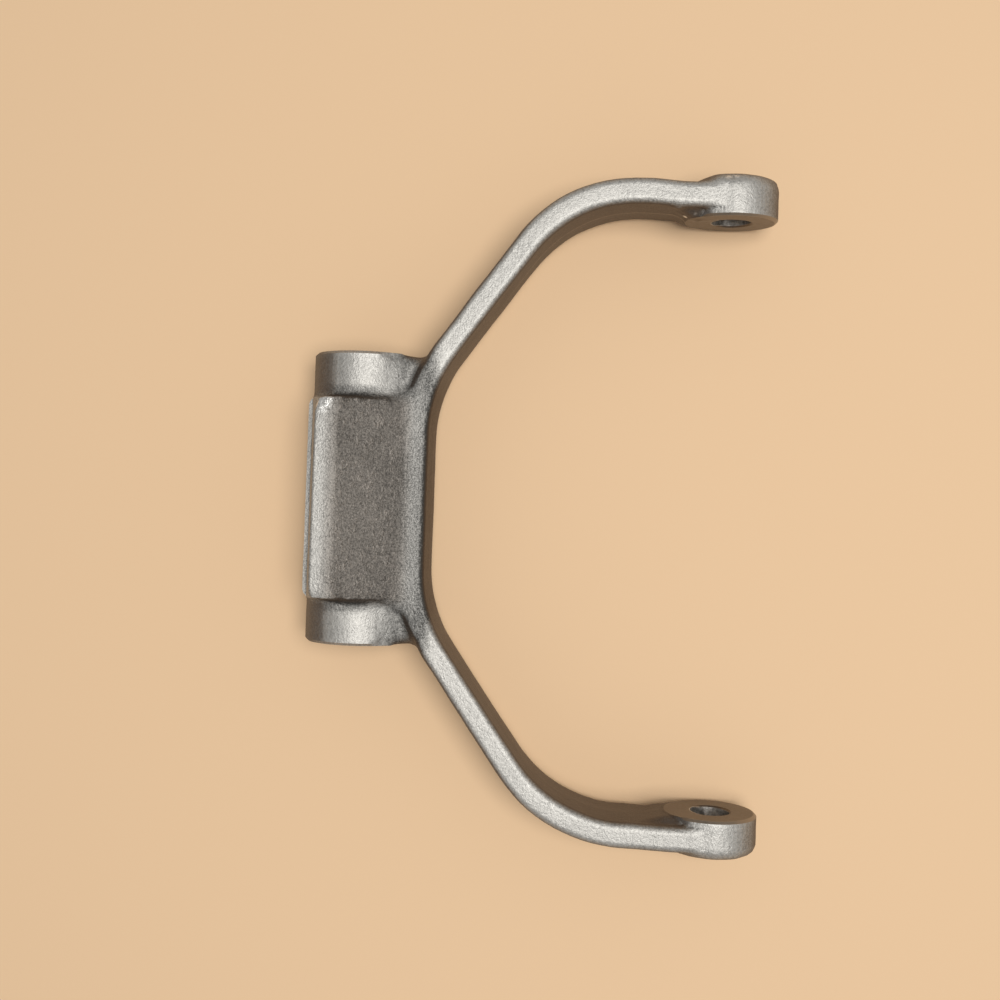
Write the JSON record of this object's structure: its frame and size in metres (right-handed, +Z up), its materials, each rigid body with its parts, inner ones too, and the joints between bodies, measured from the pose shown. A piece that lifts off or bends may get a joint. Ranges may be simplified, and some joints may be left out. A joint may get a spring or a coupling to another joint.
{
  "type": "shift fork",
  "caption": "One-piece cast shift fork: a bored hub with a raised back block, and a yoke of bent arms that end in bored eyes.",
  "frame": {"origin": "centre of the hub bore, midway between the hub's ends", "axes": "+Y along the hub bore, +X from the hub towards the eyes, +Z up from the parting plane towards the raised ridge"},
  "size_m": [0.1417, 0.2024, 0.0393],
  "materials": {
    "casting": "shot-blasted cast skin, bare"
  },
  "bodies": {
    "root": {"fork": "casting"}
  },
  "joints": []
}
